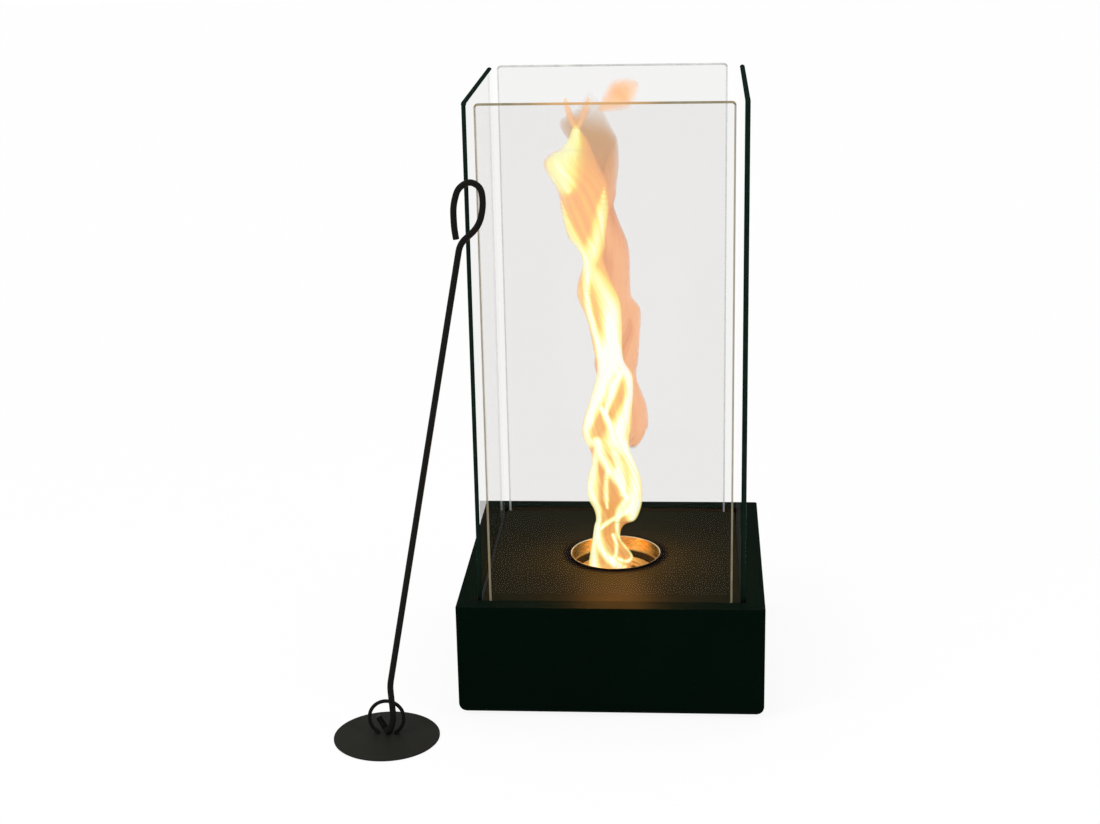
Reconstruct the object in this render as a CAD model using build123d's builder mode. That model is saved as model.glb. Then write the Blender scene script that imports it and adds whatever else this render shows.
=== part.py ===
from build123d import *
import math
import os

# Free-standing bioethanol fireplace: a square steel base, four glass panes standing in slots round
# its top, a round burner sunk in the deck, and a loose snuffing tool beside it.
# Millimetres. Origin: centre of the base on the floor. +Z up, the front is -Y.

# ---- driving dimensions -------------------------------------------------------------------------

# casing
base_side = 300.0
base_height = 116.2
sheet = 1.5
upright_edge_radius = 2.5
lower_roll_radius = 12.0
rim_edge_radius = 0.8
rim_width = 18.0
return_flange_width = 34.0
mitre_groove_width = 0.5
mitre_groove_depth = 0.25
floor_pad_thickness = 1.5
floor_pad_margin = 14.0

# glass
pane_corner_gap = 8.0
pane_height = 500.5
pane_thickness = 5.0
pane_corner_radius = 4.0
pane_edge_radius = 2.2
pane_sink = 15.0
pane_rim_clearance = 0.5
pane_deck_clearance = 0.8
back_pane_slide = 4.0

# channels that hold the glass
channel_wall = 1.2
channel_corner_gap = 0.5
seat_thickness = 2.0
seat_clearance = 0.1
seat_extra_length = 3.0

# deck
deck_sheet = 2.0
deck_recess = 2.5
deck_corner_radius = 1.5
burner_hole_clearance = 0.5

# clamps that hold the channels and the deck together
clamp_sheet = 2.5
clamp_width = 24.0
clamp_spacing = 140.0
clamp_reach = 33.0
clamp_toe_margin = 2.2
stud_radius = 2.0
stud_inset = 13.7
stud_tail = 3.0
stud_hole_clearance = 0.3
nut_height = 3.2
nut_across_flats = 7.0
thread_clearance = 0.05

# bottom cover
cover_sheet = 1.2
cover_margin = 1.0
cover_screw_inset = 12.0
screw_radius = 2.0
screw_head_radius = 3.7
screw_head_height = 1.4
screw_length = 8.0
screw_hole_clearance = 0.2

# burner
cup_radius = 46.2
cup_wall = 0.8
cup_depth = 78.0
cup_floor_radius = 4.0
cup_lip_radius = 47.6
cup_lip_height = 2.0
cup_lip_edge = 0.6
can_radius = 37.6
can_wall = 0.6
can_height = 60.0
can_foot_radius = 1.0
locating_ring_clearance = 0.4
locating_ring_width = 1.2
locating_ring_height = 3.0
lid_sheet = 0.8
lid_skirt = 6.0
lid_clearance = 0.2
lid_opening_radius = 28.0
lid_edge = 0.5
wool_clearance = 0.3
wool_height = 54.0
grate_sheet = 1.0
grate_overlap = 5.0
grate_hole_radius = 3.2
grate_hole_spacing = 10.5
grate_rings = 2
grate_gap = 0.3

# snuffer
disc_beside_base = 65.0
disc_before_base = 46.0
disc_radius = 51.3
disc_sheet = 1.5
disc_edge = 0.3
hook_wire_radius = 3.0
wire_end_chamfer = 0.6
hook_foot_offset = (1.0, -1.0)
hook_gap = 0.3
hook_back = 7.5
handle_glass_gap = 0.35
# corners of the hook on its own leaning plane: how far right, how far up, and the bend radius
tip_end = (-10.0, 14.0)
foot_left = (-2.5, 0.0, 4.0)
foot_right = (2.0, 0.0, 4.0)
foot_rise = (6.2, 14.2, 25.0)
rod_bottom = (3.6, 47.2, 40.0)
rod_top = (80.3, 473.5, 20.0)
loop_low_right = (97.9, 488.7, 30.0)
loop_right = (103.1, 508.7, 50.0)
shoulder_right = (100.5, 525.0, 11.0)
loop_top = (90.5, 530.7, 9.0)
shoulder_left = (79.7, 524.8, 15.0)
loop_left = (74.6, 508.7, 50.0)
loop_low_left = (75.3, 487.1, 100.0)
handle_end = (77.0, 477.3)
bail_wire_radius = 1.8
bail_radius = 16.8
bail_offset = (-1.4, 13.3)
bail_gap_angle = 68.0
bail_hook_gap = 0.35
weld_radius = 2.6
weld_tip_radius = 1.3
weld_height = 3.4

# ---- derived places -----------------------------------------------------------------------------

casing_underside = floor_pad_thickness
rim_underside = base_height - sheet
rim_inner = base_side / 2 - rim_width
pane_centre = rim_inner - pane_rim_clearance - pane_thickness / 2
pane_width = 2 * (pane_centre - pane_thickness / 2 - pane_corner_gap)
deck_half = pane_centre - pane_thickness / 2 - pane_deck_clearance
deck_top = base_height - deck_recess
deck_underside = deck_top - deck_sheet
pane_bottom = base_height - pane_sink
channel_floor_top = pane_bottom - seat_thickness
channel_floor_underside = channel_floor_top - channel_wall
channel_inner = deck_half - channel_wall
channel_outer = rim_inner + channel_wall
channel_length = 2 * (channel_inner - channel_corner_gap)
clamp_toe = channel_outer - clamp_toe_margin
clamp_heel = clamp_toe - clamp_reach
clamp_underside = channel_floor_underside - clamp_sheet
stud_centre = clamp_heel + stud_inset
cover_underside = casing_underside + sheet
cover_half = base_side / 2 - lower_roll_radius - cover_margin
cover_screw_centre = cover_half - cover_screw_inset
lip_top = deck_top + cup_lip_height
cup_underside = deck_top - cup_depth
cup_floor_top = cup_underside + cup_wall
can_top = cup_floor_top + can_height
lid_outer = can_radius + lid_clearance + lid_sheet
disc_centre = (-base_side / 2 - disc_beside_base, -base_side / 2 - disc_before_base)
hook_foot = (disc_centre[0] + hook_foot_offset[0], disc_centre[1] + hook_foot_offset[1])
hook_foot_height = disc_sheet + hook_gap + hook_wire_radius
glass_face = pane_centre + pane_thickness / 2
handle_reach = -hook_foot[1] - glass_face - handle_glass_gap - hook_wire_radius
hook_lean = math.asin(handle_reach / loop_top[1])
bail_set_back = hook_wire_radius + bail_wire_radius + bail_hook_gap

side_angles = {"front": -90.0, "right": 0.0, "back": 90.0, "left": 180.0}


def side_section(angle, along=0.0):
    """Section plane of one side: its x runs outward from the centre, its y runs up."""
    outward = Vector(1, 0, 0).rotate(Axis.Z, angle)
    tangent = outward.rotate(Axis.Z, -90)
    return Plane(origin=tangent * along, x_dir=outward, z_dir=tangent)


def side_face(angle, distance):
    """Upright plane of one side that looks outward, its x along the side and its y up."""
    outward = Vector(1, 0, 0).rotate(Axis.Z, angle)
    return Plane(origin=outward * distance, x_dir=outward.rotate(Axis.Z, 90), z_dir=outward)


def write(piece, name):
    piece.part.label = name
    export_step(piece.part, "parts/" + name + ".step")


os.makedirs("parts", exist_ok=True)

# ---- base: casing -------------------------------------------------------------------------------

with BuildPart() as cavity:
    with BuildSketch(Plane.XY.offset(casing_underside + sheet)):
        Rectangle(base_side - 2 * sheet, base_side - 2 * sheet)
    extrude(amount=rim_underside - casing_underside - sheet)
    fillet(cavity.faces().sort_by(Axis.Z)[0].edges(), lower_roll_radius - sheet)

with BuildPart() as casing:
    with BuildSketch(Plane.XY.offset(casing_underside)):
        Rectangle(base_side, base_side)
    extrude(amount=base_height - casing_underside)
    fillet(casing.faces().sort_by(Axis.Z)[0].edges(), lower_roll_radius)
    fillet(casing.edges().filter_by(Axis.Z), upright_edge_radius)
    fillet(casing.faces().sort_by(Axis.Z)[-1].edges(), rim_edge_radius)
    add(cavity.part, mode=Mode.SUBTRACT)
    with BuildSketch(Plane.XY.offset(rim_underside)):
        Rectangle(2 * rim_inner, 2 * rim_inner)
    extrude(amount=sheet, mode=Mode.SUBTRACT)
    with BuildSketch(Plane.XY.offset(casing_underside)):
        opening_side = base_side - 2 * return_flange_width
        Rectangle(opening_side, opening_side)
    extrude(amount=sheet, mode=Mode.SUBTRACT)
    # mitre lines across the rim at its four corners
    with BuildSketch(Plane.XY.offset(base_height - mitre_groove_depth)):
        with PolarLocations(math.sqrt(2) * (base_side - rim_width) / 2, 4, start_angle=45):
            Rectangle(2 * rim_width, mitre_groove_width)
    extrude(amount=mitre_groove_depth, mode=Mode.SUBTRACT)
    # countersunk holes for the cover screws
    with Locations(Plane(origin=(0, 0, casing_underside), x_dir=(1, 0, 0), z_dir=(0, 0, -1))):
        with GridLocations(2 * cover_screw_centre, 2 * cover_screw_centre, 2, 2):
            CounterSinkHole(
                screw_radius + screw_hole_clearance,
                screw_head_radius + screw_hole_clearance,
                depth=sheet,
                counter_sink_angle=90,
            )
write(casing, "casing")

# ---- base: deck with its weld studs -------------------------------------------------------------

stud_points = []
for angle in side_angles.values():
    for along in (-clamp_spacing / 2, clamp_spacing / 2):
        stud_points.append(Vector(stud_centre, along, 0).rotate(Axis.Z, angle))

with BuildPart() as deck_plate:
    with BuildSketch(Plane.XY.offset(deck_underside)):
        RectangleRounded(2 * deck_half, 2 * deck_half, deck_corner_radius)
        Circle(cup_radius + burner_hole_clearance, mode=Mode.SUBTRACT)
    extrude(amount=deck_sheet)
    with BuildSketch(Plane.XY.offset(clamp_underside - nut_height - stud_tail)):
        with Locations(*stud_points):
            Circle(stud_radius)
    extrude(until=Until.NEXT)
write(deck_plate, "deck_plate")

# ---- base: glass channels and their seats -------------------------------------------------------

for side, angle in side_angles.items():
    with BuildPart() as channel:
        with BuildSketch(side_section(angle)):
            with BuildLine():
                Polyline(
                    (channel_inner, deck_underside),
                    (channel_inner, channel_floor_underside),
                    (channel_outer, channel_floor_underside),
                    (channel_outer, rim_underside),
                    (rim_inner, rim_underside),
                    (rim_inner, channel_floor_top),
                    (deck_half, channel_floor_top),
                    (deck_half, deck_underside),
                    close=True,
                )
            make_face()
        extrude(amount=channel_length / 2, both=True)
    write(channel, side + "_channel")

    with BuildPart() as seat:
        with BuildSketch(side_section(angle)):
            with Locations(((deck_half + rim_inner) / 2, channel_floor_top + seat_thickness / 2)):
                Rectangle(rim_inner - deck_half - 2 * seat_clearance, seat_thickness)
        extrude(amount=(pane_width + seat_extra_length) / 2, both=True)
    write(seat, side + "_seat")

# ---- base: clamps and nuts under the deck -------------------------------------------------------

with BuildPart() as channel_clamps:
    for angle in side_angles.values():
        for along in (-clamp_spacing / 2, clamp_spacing / 2):
            with BuildSketch(side_section(angle, along)):
                with BuildLine():
                    Polyline(
                        (clamp_heel, deck_underside),
                        (clamp_heel, clamp_underside),
                        (clamp_toe, clamp_underside),
                        (clamp_toe, channel_floor_underside),
                        (clamp_heel + clamp_sheet, channel_floor_underside),
                        (clamp_heel + clamp_sheet, deck_underside),
                        close=True,
                    )
                make_face()
            extrude(amount=clamp_width / 2, both=True)
    with BuildSketch(Plane.XY.offset(clamp_underside)):
        with Locations(*stud_points):
            Circle(stud_radius + stud_hole_clearance)
    extrude(amount=clamp_sheet, mode=Mode.SUBTRACT)
write(channel_clamps, "channel_clamps")

with BuildPart() as clamp_nuts:
    with BuildSketch(Plane.XY.offset(clamp_underside - nut_height)):
        with Locations(*stud_points):
            RegularPolygon(nut_across_flats / 2, 6, major_radius=False)
            Circle(stud_radius + thread_clearance, mode=Mode.SUBTRACT)
    extrude(amount=nut_height)
write(clamp_nuts, "clamp_nuts")

# ---- base: bottom cover, its screws and the floor pad -------------------------------------------

with BuildPart() as bottom_cover:
    with BuildSketch(Plane.XY.offset(cover_underside)):
        RectangleRounded(2 * cover_half, 2 * cover_half, upright_edge_radius)
        with GridLocations(2 * cover_screw_centre, 2 * cover_screw_centre, 2, 2):
            Circle(screw_radius + thread_clearance, mode=Mode.SUBTRACT)
    extrude(amount=cover_sheet)
write(bottom_cover, "bottom_cover")

with BuildPart() as cover_screws:
    with GridLocations(2 * cover_screw_centre, 2 * cover_screw_centre, 2, 2):
        with Locations((0, 0, casing_underside)):
            Cone(
                screw_head_radius,
                screw_radius,
                screw_head_height,
                align=(Align.CENTER, Align.CENTER, Align.MIN),
            )
            Cylinder(screw_radius, screw_length, align=(Align.CENTER, Align.CENTER, Align.MIN))
write(cover_screws, "cover_screws")

with BuildPart() as floor_pad:
    with BuildSketch():
        pad_side = base_side - 2 * floor_pad_margin
        RectangleRounded(pad_side, pad_side, lower_roll_radius)
    extrude(amount=floor_pad_thickness)
write(floor_pad, "floor_pad")

# ---- glass --------------------------------------------------------------------------------------

for side, angle in side_angles.items():
    slide = back_pane_slide if side == "back" else 0.0
    with BuildPart() as pane:
        with BuildSketch(side_face(angle, pane_centre - pane_thickness / 2)) as pane_outline:
            with Locations((slide, pane_bottom + pane_height / 2)):
                Rectangle(pane_width, pane_height)
            fillet(pane_outline.vertices(), pane_corner_radius)
        extrude(amount=pane_thickness)
        fillet(pane.faces().sort_by(SortBy.AREA)[-2:].edges(), pane_edge_radius)
    write(pane, "glass_" + side)

# ---- burner -------------------------------------------------------------------------------------

with BuildPart() as burner_cup:
    with BuildSketch(Plane.XZ):
        with BuildLine():
            Polyline(
                (0, cup_underside),
                (cup_radius, cup_underside),
                (cup_radius, deck_top),
                (cup_lip_radius, deck_top),
                (cup_lip_radius, lip_top),
                (cup_radius - cup_wall, lip_top),
                (cup_radius - cup_wall, cup_floor_top),
                (0, cup_floor_top),
                close=True,
            )
        make_face()
    revolve(axis=Axis.Z)
    lip_edges = burner_cup.edges().filter_by(GeomType.CIRCLE).group_by(Axis.Z)[-1]
    chamfer(lip_edges, cup_lip_edge)
    floor_edges = burner_cup.edges().filter_by(GeomType.CIRCLE).group_by(Axis.Z)
    fillet(floor_edges[0], cup_floor_radius)
    inner_edge = burner_cup.edges().filter_by(GeomType.CIRCLE).filter_by_position(
        Axis.Z, cup_floor_top - cup_wall / 4, cup_floor_top + cup_wall / 4
    )
    fillet(inner_edge, cup_floor_radius - cup_wall)
    # raised ring on the floor that keeps the fuel can in the middle
    with BuildSketch(Plane.XY.offset(cup_floor_top)):
        ring_inner = can_radius + locating_ring_clearance
        Circle(ring_inner + locating_ring_width)
        Circle(ring_inner, mode=Mode.SUBTRACT)
    extrude(amount=locating_ring_height)
write(burner_cup, "burner_cup")

with BuildPart() as fuel_can:
    with BuildSketch(Plane.XZ):
        with BuildLine():
            Polyline(
                (0, cup_floor_top),
                (can_radius, cup_floor_top),
                (can_radius, can_top - lid_sheet),
                (can_radius - can_wall, can_top - lid_sheet),
                (can_radius - can_wall, cup_floor_top + can_wall),
                (0, cup_floor_top + can_wall),
                close=True,
            )
        make_face()
    revolve(axis=Axis.Z)
    fillet(fuel_can.edges().filter_by(GeomType.CIRCLE).group_by(Axis.Z)[0], can_foot_radius)
write(fuel_can, "fuel_can")

with BuildPart() as can_lid:
    with BuildSketch(Plane.XY.offset(can_top - lid_sheet)):
        Circle(lid_outer)
        Circle(lid_opening_radius, mode=Mode.SUBTRACT)
    extrude(amount=lid_sheet)
    with BuildSketch(Plane.XY.offset(can_top - lid_sheet)):
        Circle(lid_outer)
        Circle(lid_outer - lid_sheet, mode=Mode.SUBTRACT)
    extrude(amount=-lid_skirt)
    chamfer(can_lid.edges().filter_by(GeomType.CIRCLE).group_by(Axis.Z)[-1], lid_edge)
write(can_lid, "can_lid")

with BuildPart() as can_grate:
    grate_top = can_top - lid_sheet - grate_gap
    with BuildSketch(Plane.XY.offset(grate_top - grate_sheet)):
        Circle(lid_opening_radius + grate_overlap)
        Circle(grate_hole_radius, mode=Mode.SUBTRACT)
        for ring in range(1, grate_rings + 1):
            with PolarLocations(ring * grate_hole_spacing, 6 * ring):
                Circle(grate_hole_radius, mode=Mode.SUBTRACT)
    extrude(amount=grate_sheet)
write(can_grate, "can_grate")

with BuildPart() as wool_pad:
    with BuildSketch(Plane.XY.offset(cup_floor_top + can_wall)):
        Circle(can_radius - can_wall - wool_clearance)
    extrude(amount=wool_height)
write(wool_pad, "wool_pad")

# ---- snuffer: disc, bail and bail welds ---------------------------------------------------------

with BuildPart() as snuffer_disc:
    with BuildSketch(Plane.XY):
        with Locations(disc_centre):
            Circle(disc_radius)
    extrude(amount=disc_sheet)
    chamfer(snuffer_disc.edges().filter_by(GeomType.CIRCLE), disc_edge)
write(snuffer_disc, "snuffer_disc")

# plane of the leaning hook: x to the right, y up along the wire, z towards the front
hook_plane = Plane(
    origin=(hook_foot[0], hook_foot[1], hook_foot_height),
    x_dir=(1, 0, 0),
    z_dir=(0, -math.cos(hook_lean), math.sin(hook_lean)),
)
bail_plane = hook_plane.offset(-bail_set_back)
bail_start_angle = -90 + bail_gap_angle / 2

with BuildPart() as snuffer_bail:
    with BuildLine(bail_plane) as bail_line:
        CenterArc(bail_offset, bail_radius, bail_start_angle, 360 - bail_gap_angle)
    with BuildSketch(Plane(origin=bail_line.line @ 0, z_dir=bail_line.line % 0)):
        Circle(bail_wire_radius)
    sweep(path=bail_line.line)
    # weld beads that fix its two ends to the disc
    for end in (bail_line.line @ 0, bail_line.line @ 1):
        with Locations((end.X, end.Y, disc_sheet)):
            Cone(
                weld_radius,
                weld_tip_radius,
                weld_height,
                align=(Align.CENTER, Align.CENTER, Align.MIN),
            )
write(snuffer_bail, "snuffer_bail")

# ---- snuffer: hook, one bent wire ---------------------------------------------------------------

# The foot passes through the bail and turns up behind it, the long rod leans to the right, and the
# handle loop stays open.
level_behind = hook_back * math.tan(hook_lean)
front_corners = [foot_right, foot_rise, rod_bottom, rod_top, loop_low_right, loop_right]
front_corners += [shoulder_right, loop_top, shoulder_left, loop_left, loop_low_left]
hook_points = [(tip_end[0], tip_end[1], -hook_back), (foot_left[0], level_behind, -hook_back)]
hook_points += [(across, up, 0) for across, up, bend in front_corners]
hook_points += [(handle_end[0], handle_end[1], 0)]
hook_bends = [foot_left[2]] + [bend for across, up, bend in front_corners]

with BuildPart() as snuffer_hook:
    with BuildLine(hook_plane) as hook_line:
        FilletPolyline(*hook_points, radius=hook_bends)
    with BuildSketch(Plane(origin=hook_line.line @ 0, z_dir=hook_line.line % 0)):
        Circle(hook_wire_radius)
    sweep(path=hook_line.line)
    wire_ends = snuffer_hook.faces().filter_by(GeomType.PLANE)
    chamfer(wire_ends.edges(), wire_end_chamfer)
write(snuffer_hook, "snuffer_hook")
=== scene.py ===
import math

import bmesh
import bpy
import numpy as np
from mathutils import Matrix, Vector


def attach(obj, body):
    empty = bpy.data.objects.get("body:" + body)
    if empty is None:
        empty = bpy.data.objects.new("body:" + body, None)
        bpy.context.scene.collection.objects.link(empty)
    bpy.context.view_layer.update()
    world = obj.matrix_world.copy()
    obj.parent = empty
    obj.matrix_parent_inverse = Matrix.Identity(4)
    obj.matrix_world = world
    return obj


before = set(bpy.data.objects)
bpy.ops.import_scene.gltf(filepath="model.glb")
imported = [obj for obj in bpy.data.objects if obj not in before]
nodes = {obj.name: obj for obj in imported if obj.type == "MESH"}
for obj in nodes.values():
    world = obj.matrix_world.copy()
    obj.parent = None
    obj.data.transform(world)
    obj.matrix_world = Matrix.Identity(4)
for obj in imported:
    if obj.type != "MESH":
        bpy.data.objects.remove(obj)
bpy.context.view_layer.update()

# ---- node helpers -------------------------------------------------------------------------------


def grey(value):
    return (value, value, value)


def between(a, b, share):
    """The colour that lies this share of the way from a to b."""
    return tuple((1 - share) * p + share * q for p, q in zip(a, b))


class Tree:
    """The node tree of a material or of the world, with one call per node."""

    def __init__(self, name, kind="materials", output="ShaderNodeOutputMaterial"):
        self.owner = getattr(bpy.data, kind).new(name)
        self.owner.use_nodes = True
        self.tree = self.owner.node_tree
        self.tree.nodes.clear()
        self.out = self.add(output)

    def add(self, kind, **settings):
        node = self.tree.nodes.new(kind)
        for key, value in settings.items():
            setattr(node, key, value)
        return node

    def link(self, a, b):
        self.tree.links.new(a, b)

    def put(self, value, socket):
        """A number or a colour is set on the socket, an output is linked to it."""
        if isinstance(value, bpy.types.NodeSocket):
            self.link(value, socket)
        elif isinstance(value, tuple) and len(value) == 3 and socket.type == "RGBA":
            socket.default_value = (*value, 1.0)
        else:
            socket.default_value = value

    def math(self, operation, a, b=None, clamp=False):
        node = self.add("ShaderNodeMath", operation=operation, use_clamp=clamp)
        self.put(a, node.inputs[0])
        if b is not None:
            self.put(b, node.inputs[1])
        return node.outputs[0]

    def axes(self, coords="Object"):
        """The three axes of the object's own places or of its normals."""
        node = self.add("ShaderNodeSeparateXYZ")
        self.link(self.add("ShaderNodeTexCoord").outputs[coords], node.inputs[0])
        return node.outputs

    def times(self, product, *factors):
        """The product of two or more values."""
        for factor in factors:
            product = self.math("MULTIPLY", product, factor)
        return product

    def radius(self):
        """How far a place is from the object's upright axis."""
        x, y, _ = self.axes()
        return self.math("SQRT", self.math("ADD", self.times(x, x), self.times(y, y)))

    def noise(self, scale, detail=3.0, roughness=0.55, stretch=None, where=None):
        where = where or self.add("ShaderNodeTexCoord").outputs["Object"]
        if stretch:
            mapping = self.add("ShaderNodeMapping")
            mapping.inputs["Scale"].default_value = stretch
            self.link(where, mapping.inputs["Vector"])
            where = mapping.outputs[0]
        node = self.add("ShaderNodeTexNoise")
        node.inputs["Scale"].default_value = scale
        node.inputs["Detail"].default_value = detail
        node.inputs["Roughness"].default_value = roughness
        self.link(where, node.inputs["Vector"])
        return node.outputs["Fac"]

    def ramp(self, fac, stops):
        node = self.add("ShaderNodeValToRGB")
        elements = node.color_ramp.elements
        elements.remove(elements[-1])
        for i, (place, colour) in enumerate(stops):
            stop = elements[0] if i == 0 else elements.new(place)
            stop.position = place
            stop.color = (*colour, 1.0)
        self.link(fac, node.inputs["Fac"])
        return node.outputs["Color"]

    def profile(self, fac, *stops):
        """A value that follows fac, by stops of a place and the value there."""
        return self.ramp(fac, [(place, grey(value)) for place, value in stops])

    def spread(self, fac, low, high):
        """fac from 0 to 1 turned into low to high."""
        node = self.add("ShaderNodeMapRange")
        node.inputs["To Min"].default_value = low
        node.inputs["To Max"].default_value = high
        self.link(fac, node.inputs["Value"])
        return node.outputs["Result"]

    def rise(self, value, start, end, kind="SMOOTHSTEP"):
        """A soft step: 0 at start, 1 at end."""
        node = self.add("ShaderNodeMapRange", interpolation_type=kind)
        node.inputs["From Min"].default_value = start
        node.inputs["From Max"].default_value = end
        self.link(value, node.inputs["Value"])
        return node.outputs["Result"]

    def band(self, value, start, full_from, full_to, end):
        """0 up to start, 1 from full_from to full_to, and 0 again from end."""
        return self.times(self.rise(value, start, full_from), self.rise(value, end, full_to))

    def slope(self):
        """0 where a face is looked at squarely, 1 where it is seen edge on."""
        node = self.add("ShaderNodeLayerWeight")
        node.inputs["Blend"].default_value = 0.5
        return node.outputs["Facing"]

    def seen(self):
        """1 for a ray from the camera, from a mirror or through glass, and 0 for one that gives light."""
        path = self.add("ShaderNodeLightPath").outputs
        bounced = self.math("MAXIMUM", path["Is Glossy Ray"], path["Is Transmission Ray"])
        return self.math("MAXIMUM", path["Is Camera Ray"], bounced)

    def bump(self, height, strength, distance):
        node = self.add("ShaderNodeBump")
        node.inputs["Strength"].default_value = strength
        node.inputs["Distance"].default_value = distance
        self.link(height, node.inputs["Height"])
        return node.outputs["Normal"]

    def blend(self, fac, a, b):
        """A colour between a and b."""
        node = self.add("ShaderNodeMix", data_type="RGBA")
        self.put(fac, node.inputs[0])
        self.put(a, node.inputs[6])
        self.put(b, node.inputs[7])
        return node.outputs[2]

    def principled(self, **sockets):
        node = self.add("ShaderNodeBsdfPrincipled")
        for key, value in sockets.items():
            self.put(value, node.inputs[key.replace("_", " ")])
        return node

    def glow(self, colour, strength=1.0):
        node = self.add("ShaderNodeEmission")
        self.put(colour, node.inputs["Color"])
        node.inputs["Strength"].default_value = strength
        return node.outputs[0]

    def clear(self, colour=(1.0, 1.0, 1.0)):
        node = self.add("ShaderNodeBsdfTransparent")
        self.put(colour, node.inputs["Color"])
        return node.outputs[0]

    def mix(self, fac, a, b):
        node = self.add("ShaderNodeMixShader")
        self.put(fac, node.inputs[0])
        self.link(a, node.inputs[1])
        self.link(b, node.inputs[2])
        return node.outputs[0]

    def finish(self, surface):
        self.link(surface, self.out.inputs["Surface"])
        return self.owner


def wear(*names, material):
    """The CAD nodes of these names take this material."""
    for name in names:
        data = nodes[name].data
        data.materials.clear()
        data.materials.append(material)


# ---- materials of the base and of the snuffer ---------------------------------------------------

SHADE_RING_RADIUS = 0.057  # painted shadow: the deck is painted near black this far out round the burner, for the shade of the cup's lip and the gap round it
SHADE_RING_FADE = 0.006


def powder_coat(name, dark, light, rough, specular, grain, strength, painted_dark=False):
    """Baked powder paint: fine orange peel, slight mottling and a little uneven sheen. When its last
    argument is set, a near-black ring round the burner is painted on it: painted shade of the cup's lip."""
    t = Tree(name)
    p = t.principled(Metallic=0.0, Specular_IOR_Level=specular)
    colour = t.ramp(t.noise(9.0, 4.0), [(0.30, dark), (0.72, light)])
    if painted_dark:
        # painted shade: a near-black ring round the burner, for the shadow of the cup's lip and the gap round
        # it
        shade_ring = t.rise(t.radius(), SHADE_RING_RADIUS, SHADE_RING_RADIUS - SHADE_RING_FADE)
        colour = t.blend(shade_ring, colour, grey(0.001))
    t.link(colour, p.inputs["Base Color"])
    t.link(t.spread(t.noise(60.0, 3.0), *rough), p.inputs["Roughness"])
    t.link(t.bump(t.noise(grain, 2.0), strength, 0.0006), p.inputs["Normal"])
    return t.finish(p.outputs[0])


base_paint = powder_coat(
    "base_black", (0.0009, 0.0038, 0.0020), (0.0014, 0.0050, 0.0029),
    rough=(0.50, 0.60), specular=0.004, grain=1600.0, strength=0.10,
)
deck_paint = powder_coat(
    "deck_black", (0.0056, 0.0066, 0.0030), (0.0080, 0.0092, 0.0044),
    rough=(0.50, 0.60), specular=0.006, grain=1300.0, strength=0.10, painted_dark=True,
)
hidden_paint = powder_coat(
    "channel_black", (0.010, 0.011, 0.010), (0.016, 0.017, 0.015),
    rough=(0.50, 0.62), specular=0.02, grain=1600.0, strength=0.10,
)
snuffer_paint = powder_coat(
    "snuffer_grey", (0.0125, 0.0125, 0.0102), (0.0172, 0.0170, 0.0140),
    rough=(0.44, 0.58), specular=0.016, grain=1900.0, strength=0.20,
)
# painted shade: the wire is a darker copy of the snuffer's paint, for how light falls on the thin rod and
# bail
shaded_wire_paint = powder_coat(
    "wire_black_shaded", (0.0070, 0.0070, 0.0060), (0.0100, 0.0100, 0.0086),
    rough=(0.40, 0.52), specular=0.025, grain=1900.0, strength=0.20,
)


def zinc(name):
    """Bright zinc plate with faint crystal patches."""
    t = Tree(name)
    p = t.principled(Metallic=1.0)
    patches = t.ramp(t.noise(350.0, 4.0), [(0.3, (0.42, 0.43, 0.45)), (0.7, (0.62, 0.63, 0.64))])
    t.link(patches, p.inputs["Base Color"])
    t.link(t.spread(t.noise(700.0), 0.22, 0.42), p.inputs["Roughness"])
    return t.finish(p.outputs[0])


def soft_sheet(name, dark, light, cell, strength):
    """Matt rubber or foam with fine pores."""
    t = Tree(name)
    p = t.principled(Specular_IOR_Level=0.15)
    t.link(t.ramp(t.noise(120.0, 4.0), [(0.3, dark), (0.7, light)]), p.inputs["Base Color"])
    t.link(t.spread(t.noise(200.0), 0.80, 0.95), p.inputs["Roughness"])
    pores = t.add("ShaderNodeTexVoronoi")
    pores.inputs["Scale"].default_value = cell
    t.link(t.add("ShaderNodeTexCoord").outputs["Object"], pores.inputs["Vector"])
    t.link(t.bump(pores.outputs["Distance"], strength, 0.0005), p.inputs["Normal"])
    return t.finish(p.outputs[0])


seat_rubber = soft_sheet("seat_rubber", grey(0.012), grey(0.022), cell=1500.0, strength=0.1)
pad_foam = soft_sheet("pad_foam", grey(0.018), grey(0.034), cell=900.0, strength=0.35)

sides = ("front", "right", "back", "left")
wear("casing", "bottom_cover", material=base_paint)
wear("deck_plate", material=deck_paint)
wear(*(side + "_channel" for side in sides), "channel_clamps", material=hidden_paint)
wear("snuffer_disc", material=snuffer_paint)
wear("snuffer_bail", "snuffer_hook", material=shaded_wire_paint)
wear("clamp_nuts", "cover_screws", material=zinc("zinc_plate"))
wear(*(side + "_seat" for side in sides), material=seat_rubber)
wear("floor_pad", material=pad_foam)

# ---- materials of the burner --------------------------------------------------------------------

LOW_DARK_TOP = 0.1025  # the wall of the cup is painted nearly black below this height
LOW_DARK_FADE = 0.003
LOW_DARK_COVER = 0.97
LIP_FADE = 0.0006


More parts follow.
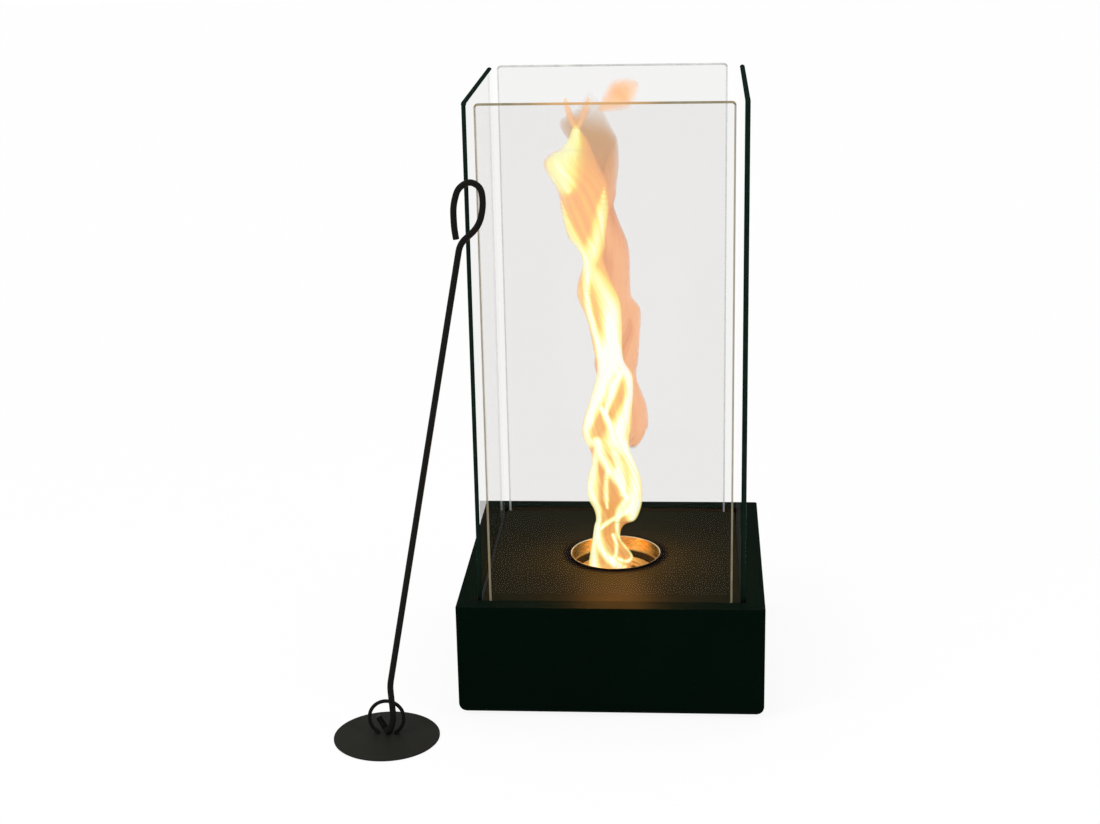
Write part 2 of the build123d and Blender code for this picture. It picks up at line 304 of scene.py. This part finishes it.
def steel(name, cool, warm, turned, rough, dark_from=None):
    """Stainless steel with fine lines round its axis, and heat tint that comes and goes. Where dark_from
    is given, it is nearly black low down, and painted black outside that radius, as painted shade on
    the lip's outer face."""
    t = Tree(name)
    p = t.principled(Specular_IOR_Level=0.01)
    colour = t.ramp(t.noise(28.0, 3.0), [(0.35, cool), (0.70, warm)])
    metal = 1.0
    if dark_from:
        # painted shade: beyond dark_from the lip's outer face is painted black, for the shade on it
        lip = t.rise(t.radius(), dark_from, dark_from + LIP_FADE)
        # the wall is painted nearly black below a set height, down in the gap round the can
        low_dark = t.times(t.rise(t.axes()["Z"], LOW_DARK_TOP, LOW_DARK_TOP - LOW_DARK_FADE), LOW_DARK_COVER)
        painted_dark = t.math("MAXIMUM", lip, low_dark)
        colour = t.blend(painted_dark, colour, (0.004, 0.004, 0.003))
        metal = t.math("SUBTRACT", 1.0, painted_dark)
    t.put(metal, p.inputs["Metallic"])
    t.link(colour, p.inputs["Base Color"])
    lines = t.noise(220.0, 4.0, 0.7, turned)
    t.link(t.spread(lines, *rough), p.inputs["Roughness"])
    t.link(t.bump(lines, 0.08, 0.0003), p.inputs["Normal"])
    return t.finish(p.outputs[0])


cup_steel = steel(
    "cup_steel", (0.72, 0.70, 0.42), (0.64, 0.54, 0.27),
    turned=(1.0, 1.0, 14.0), rough=(0.20, 0.34), dark_from=0.0459,
)
can_steel = steel(
    "can_steel", (0.72, 0.44, 0.15), (0.60, 0.34, 0.10), turned=(1.0, 1.0, 9.0), rough=(0.28, 0.44),
)
wear("burner_cup", material=cup_steel)
wear("fuel_can", "can_lid", "can_grate", material=can_steel)


def fibre_wool(name):
    """White ceramic wool: matted fibres."""
    t = Tree(name)
    p = t.principled(Specular_IOR_Level=0.1, Roughness=0.95)
    fibres = t.noise(900.0, 8.0, 0.7, (1.0, 3.0, 1.0))
    t.link(t.ramp(fibres, [(0.3, (0.58, 0.54, 0.48)), (0.7, (0.86, 0.84, 0.80))]), p.inputs["Base Color"])
    t.link(t.bump(fibres, 0.6, 0.001), p.inputs["Normal"])
    return t.finish(p.outputs[0])


wear("wool_pad", material=fibre_wool("ceramic_wool"))

# ---- glass --------------------------------------------------------------------------------------

FLAT = 0.985  # the least cosine between a wide face's normal and the axis across the pane
TOP_EDGE = 0.12  # the least cosine between the top edge's normal and straight up
GLASS_TINT = (0.953, 0.951, 0.948)
FLAME_LIT_EDGE = (-0.085, -0.035, 0.010, 0.070)  # where the flame stands behind the front pane's edges, in X: there the edges take a painted reflection of its light

# the part of the back pane that mirrors the flame: a band in X, and a lower end with a dip in it
MIRROR_BAND = (-0.085, -0.055, 0.060, 0.090)
MIRROR_FOOT = (0.206, 0.211)
DIP_BAND = (0.004, 0.009, 0.0275, 0.0295)
DIP_CENTRE = 0.014
DIP_DEPTH = 0.021
DIP_BEND = 88.0
MIRROR_FADE = (0.14, 0.09)  # no mirror at the first slope, the full one at the second


def flame_patch(t, x, z):
    """How much of a place on the back pane mirrors the flame, 0 to 1, when it is looked at squarely."""
    off_centre = t.math("SUBTRACT", x, DIP_CENTRE)
    bowl = t.times(off_centre, off_centre, DIP_BEND)
    dip = t.times(t.band(x, *DIP_BAND), t.math("SUBTRACT", DIP_DEPTH, bowl))
    above_foot = t.rise(t.math("ADD", z, dip), *MIRROR_FOOT)
    return t.times(t.band(x, *MIRROR_BAND), above_foot, t.rise(t.slope(), *MIRROR_FADE))


def clear_glass(
    name, across, mirror, ground, inner, inner_share,
    flame_lit=None, flame_lit_inner=None, upright_share=1.0, round_from=FLAT, flame_mirror=0.0,
):
    """Clear float glass. across is the axis square to its two wide faces, which let light through and
    mirror a little. Its ground edges have one colour, ground, where they are looked at, and glow softly
    in another, inner, where they are seen through the pane: painted light, an emission for the light
    caught in the glass. The two colours after inner_share are these colours in front of the flame: a
    painted reflection of its light. upright_share is how much the upright edges cover, and round_from is
    where their polished rounding starts. flame_mirror is how much the face turned to the flame gives back of
    it."""
    t = Tree(name)
    inside = t.add("ShaderNodeNewGeometry").outputs["Backfacing"]
    outside = t.math("SUBTRACT", 1.0, inside)
    facing = t.axes("Normal")
    place = t.axes()
    slant = t.math("ABSOLUTE", facing[across])
    on_edge = t.math("LESS_THAN", slant, FLAT)

    shine = t.add("ShaderNodeBsdfGlossy")
    t.put(grey(1.0), shine.inputs["Color"])
    shine.inputs["Roughness"].default_value = 0.015
    fresnel = t.add("ShaderNodeFresnel")
    fresnel.inputs["IOR"].default_value = 1.5
    share = t.math("MULTIPLY", t.times(fresnel.outputs[0], mirror), outside, clamp=True)
    if flame_mirror:
        turned = t.math("LESS_THAN", facing[across], -FLAT)
        patch = t.times(flame_patch(t, place["X"], place["Z"]), turned, outside)
        share = t.math("MAXIMUM", share, t.times(patch, flame_mirror))
    face = t.mix(share, t.clear(GLASS_TINT), shine.outputs[0])

    p = t.principled(Roughness=0.30, Specular_IOR_Level=0.0)
    colour = t.ramp(t.noise(70.0, 2.0), [(0.3, between(ground, grey(0.0), 0.3)), (0.7, ground)])
    # painted reflection: in front of the flame the edges take orange colours for its light
    if flame_lit:
        near = t.band(place["X"], *FLAME_LIT_EDGE)
        colour = t.blend(near, colour, flame_lit)
        inner = t.blend(near, inner, flame_lit_inner)
    t.link(colour, p.inputs["Base Color"])
    on_top = t.math("GREATER_THAN", facing["Z"], TOP_EDGE)
    upright = t.times(upright_share, t.math("LESS_THAN", slant, round_from))
    looked_at = t.mix(t.math("MAXIMUM", on_top, upright), t.clear(), p.outputs[0])
    # painted light: the edges seen through the pane glow, for the light caught in the glass
    seen_through = t.mix(inner_share, t.clear(), t.glow(inner))
    edge = t.mix(inside, looked_at, seen_through)
    return t.finish(t.mix(on_edge, face, edge))


dark_green = (0.0075, 0.0180, 0.0130)
pale_green = (0.80, 0.84, 0.80)
left_glass = clear_glass(
    "glass_left_clear", "X", mirror=0.9, ground=dark_green, inner=pale_green, inner_share=0.05,
    round_from=0.80,
)
right_glass = clear_glass(
    "glass_right_clear", "X", mirror=0.7, ground=dark_green, inner=pale_green, inner_share=0.05,
)
# the front pane's edge colours are painted light: the flame's glow caught in the glass
front_glass = clear_glass(
    "glass_front_clear", "Y", mirror=0.08, ground=(0.29, 0.25, 0.16), inner=(0.42, 0.34, 0.22),
    inner_share=0.50, flame_lit=(0.58, 0.34, 0.15), flame_lit_inner=(1.0, 0.52, 0.22), upright_share=0.70,
)
# the back pane's edge colours are painted light: the backdrop's light caught in the glass
back_glass = clear_glass(
    "glass_back_clear", "Y", mirror=0.08, ground=(0.62, 0.62, 0.60), inner=grey(0.80),
    inner_share=0.25, upright_share=0.5, flame_mirror=0.88,
)
wear("glass_left", material=left_glass)
wear("glass_right", material=right_glass)
wear("glass_front", material=front_glass)
wear("glass_back", material=back_glass)

# ---- flame --------------------------------------------------------------------------------------

# outline of the flame's body from the top down, in millimetres: height, left, right
body_stations = [
    (570, -35, -33), (557, -38, -30), (547, -42, -23), (538, -49, -19), (533, -59, -17), (526, -66, -14),
    (519, -66, -11), (511, -62, -7), (503, -57, -4), (491, -52, -3), (474, -50, -3), (450, -44, -6),
    (438, -35, -7), (428, -30, -9), (418, -30, -6), (406, -34, -1), (393, -36, 5), (381, -33, 8),
    (367, -27, 9), (350, -23, 9), (333, -20, 9), (321, -17, 11), (308, -17, 19), (293, -21, 20),
    (279, -25, 19), (264, -30, 18), (249, -33, 17), (238, -31, 15), (227, -25, 16), (214, -23, 21),
    (200, -27, 26), (186, -29, 28), (173, -27, 28), (163, -22, 26), (155, -20, 23), (150, -20, 19),
    (147, -21, 11), (143, -22, 7), (136, -23, 5), (129, -24, 6), (123, -25, 11), (117, -26, 15),
    (111, -27, 18), (105, -28, 17), (100, -28, 14), (96, -28, 11), (91, -27, 13),
]

# bright folds of the flame, each from one end to the other, in millimetres: across, height, half width
folds = [
    # the left tongue
    ((-34, 555, 3), (-38, 544, 6), (-43, 534, 8), (-48, 525, 10), (-50, 515, 10), (-47, 505, 7),
     (-42, 496, 2)),
    # the two strands that meet above the waist
    ((-50, 486, 0.5), (-46, 469, 2), (-40, 453, 3), (-32, 436, 4), (-24, 420, 5), (-15, 405, 6), (-7, 390, 7),
     (-1, 373, 9), (-1, 352, 9), (-3, 333, 10), (-5, 317, 9)),
    ((-7, 498, 0.5), (-9, 474, 4), (-13, 453, 5), (-19, 436, 6), (-24, 418, 4), (-26, 400, 3), (-25, 381, 3),
     (-21, 363, 3), (-16, 344, 3), (-13, 327, 3)),
    # right and left of the upper window
    ((2, 331, 7), (10, 317, 5), (15, 302, 4), (16, 285, 4), (12, 268, 6), (7, 251, 8), (2, 236, 11)),
    ((-4, 323, 9), (-9, 307, 8), (-14, 291, 7), (-19, 277, 6), (-25, 262, 5), (-29, 248, 4), (-26, 234, 4)),
    # the cross in the upper window
    ((-13, 272, 2), (-8, 262, 3), (-3, 251, 4), (0, 238, 5)),
    ((7, 310, 3), (0, 294, 4), (-5, 279, 3), (-8, 268, 2)),
    # the slanting strand, and the right and left sides under it
    ((-18, 236, 4), (-15, 224, 4), (-8, 211, 4), (0, 197, 3), (7, 185, 2), (12, 174, 2)),
    ((8, 232, 6), (15, 219, 6), (20, 204, 6), (21, 187, 7), (20, 172, 7), (19, 160, 6), (18, 152, 4)),
    ((0, 224, 3), (5, 209, 4), (8, 195, 3), (10, 184, 1)),
    ((-18, 225, 3), (-22, 210, 4), (-24, 195, 6), (-25, 182, 6), (-22, 170, 4), (-18, 160, 3), (-18, 146, 3),
     (-21, 131, 4), (-24, 115, 5), (-22, 93, 6)),
    # fine strands in the lower windows
    ((-7, 206, 2), (-9, 190, 2), (-9, 175, 2), (-8, 164, 1)),
    ((2, 206, 2), (6, 193, 3), (9, 180, 3)),
    # the roots in the burner
    ((-21, 151, 3), (-19, 136, 3), (-15, 120, 4), (-9, 110, 4), (0, 102, 5), (9, 95, 5)),
    ((13, 176, 2), (5, 162, 3), (2, 149, 2), (3, 135, 2), (9, 124, 2), (16, 115, 2), (17, 109, 2),
     (11, 105, 2), (3, 108, 2)),
    ((-2, 134, 2), (1, 123, 2), (0, 111, 2)),
    ((22, 168, 4), (11, 160, 3), (0, 153, 2), (-9, 147, 2), (-15, 141, 1)),
]

# thin tongues at the top, and the torn-off tip, in millimetres: across, height, half width
tongues = [
    ((-44, 587, 3), (-42, 577, 4), (-39, 567, 4), (-34, 556, 4)),
    ((-21, 587, 3), (-24, 577, 4), (-28, 567, 4), (-32, 556, 4)),
]
torn_tip = [((27, 601, 10), (19, 596, 15), (9, 589, 17), (-2, 581, 13), (-12, 574, 7))]
TIP_BACK = 0.034  # the torn-off tip stands this far behind the flame's middle

EYE = Vector((0.08245, -1.87369, 0.86474))  # where the photograph was taken from
LOWEST = 0.0970  # the flame starts above the can's grate
HIGHEST = 0.597  # its colours follow the height from LOWEST to here
DEPTH = 0.75  # the flame is this much as deep as it is wide
LEAST_HALF = 0.0008  # half its width where it is thinnest
SWAY = 0.006  # its middle wanders this far forward and back
SWAY_TURN = 38  # how fast it wanders, in radians to the metre
TWIST = 15.0  # how fast its streaks wind round it, in radians to the metre
FOLD_RELIEF = 0.16  # a fold stands out by half this share of the flame's depth
AROUND = 96  # corners round the flame
LICK_AROUND = 16  # corners round a lick
BODY_STEPS = 9  # rings from one station to the next
LINE_STEPS = 5  # steps from one point of a fold or a lick to the next
FLAME_STRENGTH = 1.12  # white again behind the front pane

# how many of its half widths a fold's glow reaches, by height in metres: crisp low down, soft at the top
GLOW_HEIGHTS = (0.12, 0.15, 0.22, 0.40, 0.49)
GLOW_REACH = (1.5, 1.9, 1.7, 1.6, 2.5)


def smooth(points, steps):
    """A smooth line through the points: Catmull-Rom, with some steps between each two."""
    line = []
    for i in range(len(points) - 1):
        a, b, c, d = (Vector(points[max(0, min(len(points) - 1, i + k))]) for k in (-1, 0, 1, 2))
        for s in range(steps):
            u = s / steps
            pull = (c - a) * u + (2 * a - 5 * b + 4 * c - d) * u * u + (3 * b - a - 3 * c + d) * u ** 3
            line.append(b + 0.5 * pull)
    line.append(Vector(points[-1]))
    return line


def in_sight(x, y, z):
    """The point at depth y that covers the point (x, 0, z) in the photograph."""
    nearer = (EYE.y - y) / EYE.y
    height = EYE.z + (z - EYE.z) * nearer
    return Vector((EYE.x + (x - EYE.x) * nearer, y, max(LOWEST, height)))


def new_piece(name, make_mesh, material, body):
    """A smooth piece of this name, which rides on this body."""
    mesh = bpy.data.meshes.new(name)
    bm = bmesh.new()
    make_mesh(bm)
    bm.normal_update()
    bm.to_mesh(mesh)
    bm.free()
    for polygon in mesh.polygons:
        polygon.use_smooth = True
    mesh.materials.append(material)
    piece = bpy.data.objects.new(name, mesh)
    bpy.context.scene.collection.objects.link(piece)
    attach(piece, body)


def skin(bm, rings):
    """Skins rings that all have the same number of points, and closes the ends."""
    made = [[bm.verts.new(p) for p in ring] for ring in rings]
    n = len(rings[0])
    for a, b in zip(made, made[1:]):
        for i in range(n):
            bm.faces.new((a[i], a[(i + 1) % n], b[(i + 1) % n], b[i]))
    bm.faces.new(list(reversed(made[0])))
    bm.faces.new(made[-1])


def fold_glow(x, z):
    """How brightly the folds glow at places in the photograph's plane: 0 in between, 1 in their middle."""
    reach = np.interp(z, GLOW_HEIGHTS, GLOW_REACH)
    dark = np.ones_like(x)
    for points in folds:
        line = 0.001 * np.array([tuple(p) for p in smooth(points, LINE_STEPS)])
        apart = np.hypot(x[:, None] - line[None, :, 0], z[:, None] - line[None, :, 1]) / line[None, :, 2]
        near = np.clip(1.0 - (apart.min(axis=1) / reach) ** 2, 0.0, 1.0)
        dark *= 1.0 - near ** 1.2
    return 1.0 - dark


def make_body(bm):
    """The twisting column of the flame. Each ring covers one level line of the photograph, its folds
    stand out a little, and each corner keeps how brightly it glows."""
    angles = [2 * math.pi * i / AROUND for i in range(AROUND)]
    line = [0.001 * station for station in smooth(body_stations, BODY_STEPS)]
    measures = [(z, (left + right) / 2, max(LEAST_HALF, (right - left) / 2)) for z, left, right in line]
    places = [(centre + half * math.cos(a), z) for z, centre, half in measures for a in angles]
    glow = fold_glow(*np.array(places).T)
    rings = []
    for k, (z, centre, half) in enumerate(measures):
        sway = SWAY * math.sin(SWAY_TURN * z)
        ring = []
        for i, a in enumerate(angles):
            relief = 1.0 + FOLD_RELIEF * (glow[k * AROUND + i] - 0.5) * abs(math.sin(a))
            ring.append(in_sight(centre + half * math.cos(a), sway + DEPTH * half * relief * math.sin(a), z))
        rings.append(ring)
    heat = bm.verts.layers.float.new("glow")
    flow = bm.verts.layers.float_vector.new("flow")
    skin(bm, rings)
    for i, v in enumerate(bm.verts):
        k, around = divmod(i, AROUND)
        z = measures[k][0]
        v[heat] = glow[i]
        v[flow] = (math.cos(angles[around] + TWIST * z), math.sin(angles[around] + TWIST * z), z)


def make_licks(bm, licks, back=0.0):
    """Round licks above the body, with blunt ends, this far behind the flame's middle."""
    angles = [2 * math.pi * i / LICK_AROUND for i in range(LICK_AROUND)]
    for points in licks:
        line = [0.001 * p for p in smooth(points, LINE_STEPS)]
        rings = []
        for k, (x, z, half) in enumerate(line):
            ahead = (line[min(len(line) - 1, k + 1)] - line[max(0, k - 1)]).xy.normalized()
            side = Vector((-ahead.y, 0.0, ahead.x))
            taper = math.sqrt(math.sin(math.pi * (k + 0.3) / (len(line) - 0.4)))
            rings.append([
                in_sight(x, back, z) + half * taper * (side * math.cos(a) + Vector((0.0, math.sin(a), 0.0)))
                for a in angles
            ])
        skin(bm, rings)


low_salmon = (0.87, 0.37, 0.11)
high_salmon = (0.97, 0.485, 0.23)
pale_salmon = (0.92, 0.48, 0.25)
pale_peach = (0.96, 0.58, 0.31)
amber = (1.0, 0.68, 0.23)
yellow = (1.0, 0.93, 0.32)
cream = (1.0, 1.0, 0.56)
white_hot = (1.0, 1.0, 0.95)

# the flame's colours in a mirror: cool, warm and hot places, and its top
veil_cool = (0.60, 0.24, 0.09)
veil_warm = (0.84, 0.33, 0.13)
veil_hot = (0.92, 0.44, 0.20)
veil_top = (0.56, 0.30, 0.12)


def flame_heat(t, up_high, slope):
    """How hot the gas is, 0 to 1: the glow of the folds and of streaks along the flow, cooler at the
    rim. How strongly each counts goes by the height in the flame."""
    flow = t.add("ShaderNodeAttribute", attribute_name="flow").outputs["Vector"]
    broad = t.noise(1.0, 4.0, 0.6, (2.4, 2.4, 6.0), flow)
    fine = t.noise(1.0, 3.0, 0.5, (9.0, 9.0, 7.0), flow)
    calm = t.spread(t.rise(up_high, 0.55, 0.80), 0.70, 0.20)
    streaks = t.math("ADD", broad, t.times(t.math("SUBTRACT", fine, 0.5), calm))

    glow = t.add("ShaderNodeAttribute", attribute_name="glow").outputs["Fac"]
    gain = t.profile(up_high, (0.0, 0.86), (0.50, 0.90), (0.64, 0.68), (1.0, 0.80))
    level = t.profile(
        up_high, (0.0, 0.06), (0.25, 0.10), (0.45, 0.24), (0.60, 0.22), (0.72, 0.08), (1.0, 0.0),
    )
    heat = t.math("ADD", t.times(glow, gain), level)
    heat = t.math("ADD", heat, t.math("SUBTRACT", streaks, 0.5))

    grazing = t.math("POWER", slope, 4.0)
    cooling = t.profile(up_high, (0.0, 0.60), (0.45, 0.60), (0.65, 1.0), (1.0, 1.0))
    return t.math("SUBTRACT", heat, t.times(grazing, cooling), clamp=True)


def flame_column(name):
    """Burning gas. Its colour goes from salmon to white heat with the glow of its folds, it thins out
    towards its rim and its top, and is seen in a mirror as a dimmer veil."""
    t = Tree(name)
    up_high = t.rise(t.axes()["Z"], LOWEST, HIGHEST, "LINEAR")
    mirrored = t.add("ShaderNodeLightPath").outputs["Is Glossy Ray"]
    slope = t.slope()
    heat = flame_heat(t, up_high, slope)

    windows = t.blend(t.rise(up_high, 0.15, 0.55), low_salmon, high_salmon)
    strands = t.ramp(heat, [(0.35, amber), (0.62, yellow), (0.82, cream), (1.0, white_hot)])
    colour = t.blend(t.rise(heat, 0.0, 0.42, "LINEAR"), windows, strands)
    veil = t.ramp(heat, [(0.0, veil_cool), (0.35, veil_warm), (1.0, veil_hot)])
    veil = t.blend(t.rise(up_high, 0.62, 0.86), veil, veil_top)

    softness = t.spread(up_high, 0.35, 1.2)
    body = t.math("POWER", t.math("SUBTRACT", 1.0, slope), softness, clamp=True)
    thin = t.profile(up_high, (0.0, 0.78), (0.60, 0.95), (0.82, 0.90), (0.90, 0.55), (1.0, 0.10))
    solid = t.math("MAXIMUM", thin, t.times(heat, 1.25), clamp=True)
    faded = t.times(mirrored, t.rise(up_high, 0.80, 0.93))
    cover = t.times(body, solid, t.math("SUBTRACT", 1.0, faded))
    return t.finish(t.mix(cover, t.clear(), t.glow(t.blend(mirrored, colour, veil), FLAME_STRENGTH)))


def flame_veil(name, softness, most):
    """Thin burning gas without folds, soft at its rim, which covers this share, most, of what lies behind
    its middle, and isn't seen in a mirror."""
    t = Tree(name)
    direct = t.spread(t.add("ShaderNodeLightPath").outputs["Is Glossy Ray"], most, 0.0)
    colour = t.ramp(t.noise(60.0, 2.0), [(0.35, pale_salmon), (0.65, pale_peach)])
    body = t.math("POWER", t.math("SUBTRACT", 1.0, t.slope()), softness, clamp=True)
    return t.finish(t.mix(t.times(body, direct), t.clear(), t.glow(colour, FLAME_STRENGTH)))


column = flame_column("flame_column")
licks = flame_veil("flame_licks", softness=2.0, most=0.55)
tip = flame_veil("flame_tip", softness=3.0, most=0.95)
new_piece("flame_body", make_body, column, "fuel_tin")
new_piece("flame_tongues", lambda bm: make_licks(bm, tongues), licks, "fuel_tin")
new_piece("flame_tip", lambda bm: make_licks(bm, torn_tip, TIP_BACK), tip, "fuel_tin")

# ---- stage --------------------------------------------------------------------------------------

FLOOR_HALF = 7
FLOOR_DROP = 0.0003  # the floor lies this much under the object, so that the two don't share a plane
SKY_LIGHT = 0.60  # what the world gives as light; it looks plain white all the same


def plain_floor():
    """White studio sweep: it keeps a soft shadow and looks white to the camera, in metal and in glass."""
    t = Tree("studio_white")
    matt = t.add("ShaderNodeBsdfDiffuse")
    t.put(grey(0.88), matt.inputs["Color"])
    whiter = t.times(t.rise(t.radius(), 0.6, 2.5), 0.08)
    share = t.math("ADD", 0.90, whiter)
    return t.finish(t.mix(t.times(t.seen(), share), matt.outputs[0], t.glow(grey(1.0))))


def white_sky():
    """Soft light from all round, and a plain white backdrop where it is seen."""
    t = Tree("studio", "worlds", "ShaderNodeOutputWorld")
    soft_light = t.add("ShaderNodeBackground")
    backdrop = t.add("ShaderNodeBackground")
    for shader, strength in ((soft_light, SKY_LIGHT), (backdrop, 1.0)):
        t.put(grey(1.0), shader.inputs["Color"])
        t.put(strength, shader.inputs["Strength"])
    return t.finish(t.mix(t.seen(), soft_light.outputs[0], backdrop.outputs[0]))


corners = [(-FLOOR_HALF, -FLOOR_HALF, 0), (FLOOR_HALF, -FLOOR_HALF, 0), (FLOOR_HALF, FLOOR_HALF, 0),
           (-FLOOR_HALF, FLOOR_HALF, 0)]
floor_mesh = bpy.data.meshes.new("floor")
floor_mesh.from_pydata(corners, [], [(0, 1, 2, 3)])
floor_mesh.materials.append(plain_floor())
floor = bpy.data.objects.new("floor", floor_mesh)
bpy.context.scene.collection.objects.link(floor)
floor.location.z = -FLOOR_DROP

bpy.context.scene.world = white_sky()


def add_lamp(name, kind, place, power):
    """What all lamps share."""
    light = bpy.data.lights.new(name, kind)
    light.energy = power
    lamp = bpy.data.objects.new(name, light)
    bpy.context.scene.collection.objects.link(lamp)
    lamp.location = place
    return lamp


def soft_box(name, place, aim, size, power):
    """A wide, soft studio lamp that looks at aim."""
    lamp = add_lamp(name, "AREA", place, power)
    lamp.data.shape = "RECTANGLE"
    lamp.data.size, lamp.data.size_y = size
    lamp.rotation_euler = (Vector(aim) - Vector(place)).to_track_quat("-Z", "Y").to_euler()


soft_box("key", place=(-1.9, -1.7, 2.3), aim=(0, 0, 0.25), size=(1.6, 1.6), power=42.0)
soft_box("fill", place=(2.3, -1.2, 1.5), aim=(0, 0, 0.25), size=(1.4, 1.8), power=16.0)
soft_box("top", place=(0.2, 0.6, 2.9), aim=(0, 0, 0.2), size=(2.2, 2.2), power=26.0)


def fire_light(name, place, size, power, lit):
    """A lamp in the flame that shines on these nodes alone, so that the panes don't mirror it."""
    lamp = add_lamp(name, "POINT", place, power)
    lamp.data.shadow_soft_size = size
    lamp.data.color = (1.0, 0.40, 0.08)
    lamp.visible_camera = False
    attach(lamp, "fuel_tin")
    receivers = bpy.data.collections.new(name + "_on")
    for node in lit:
        receivers.objects.link(nodes[node])
    lamp.light_linking.receiver_collection = receivers


burner = ["burner_cup", "fuel_can", "can_lid", "can_grate", "wool_pad"]
others = [name for name in nodes if name not in burner and not name.startswith("glass")]
fire_light("fire_low", place=(-0.010, -0.020, 0.150), size=0.020, power=1.6, lit=burner)
fire_light("fire_high", place=(0.0, -0.012, 0.165), size=0.035, power=4.5, lit=others)

# ---- camera: the one that took the photograph, at EYE -------------------------------------------

YAW = math.radians(4.5062)  # turned left from looking straight at the front
PITCH = math.radians(17.6166)  # down
ROLL = math.radians(-1.2462)
FOCAL_LENGTH = 1938.14  # in pixels of the photograph
PHOTO_WIDTH = 1100.0  # in pixels
SENSOR_WIDTH = 36.0

forward = Vector((-math.sin(YAW) * math.cos(PITCH), math.cos(YAW) * math.cos(PITCH), -math.sin(PITCH)))
level = Vector((math.cos(YAW), math.sin(YAW), 0.0))
upward = level.cross(forward)
right = math.cos(ROLL) * level + math.sin(ROLL) * upward
up = -math.sin(ROLL) * level + math.cos(ROLL) * upward
camera_data = bpy.data.cameras.new("camera")
camera_data.sensor_fit = "HORIZONTAL"
camera_data.sensor_width = SENSOR_WIDTH
camera_data.lens = SENSOR_WIDTH * FOCAL_LENGTH / PHOTO_WIDTH
camera = bpy.data.objects.new("camera", camera_data)
bpy.context.scene.collection.objects.link(camera)
turn = Matrix((right, up, -forward)).transposed().to_4x4()
camera.matrix_world = Matrix.Translation(EYE) @ turn
bpy.context.scene.camera = camera

bpy.context.scene.view_settings.view_transform = "Standard"
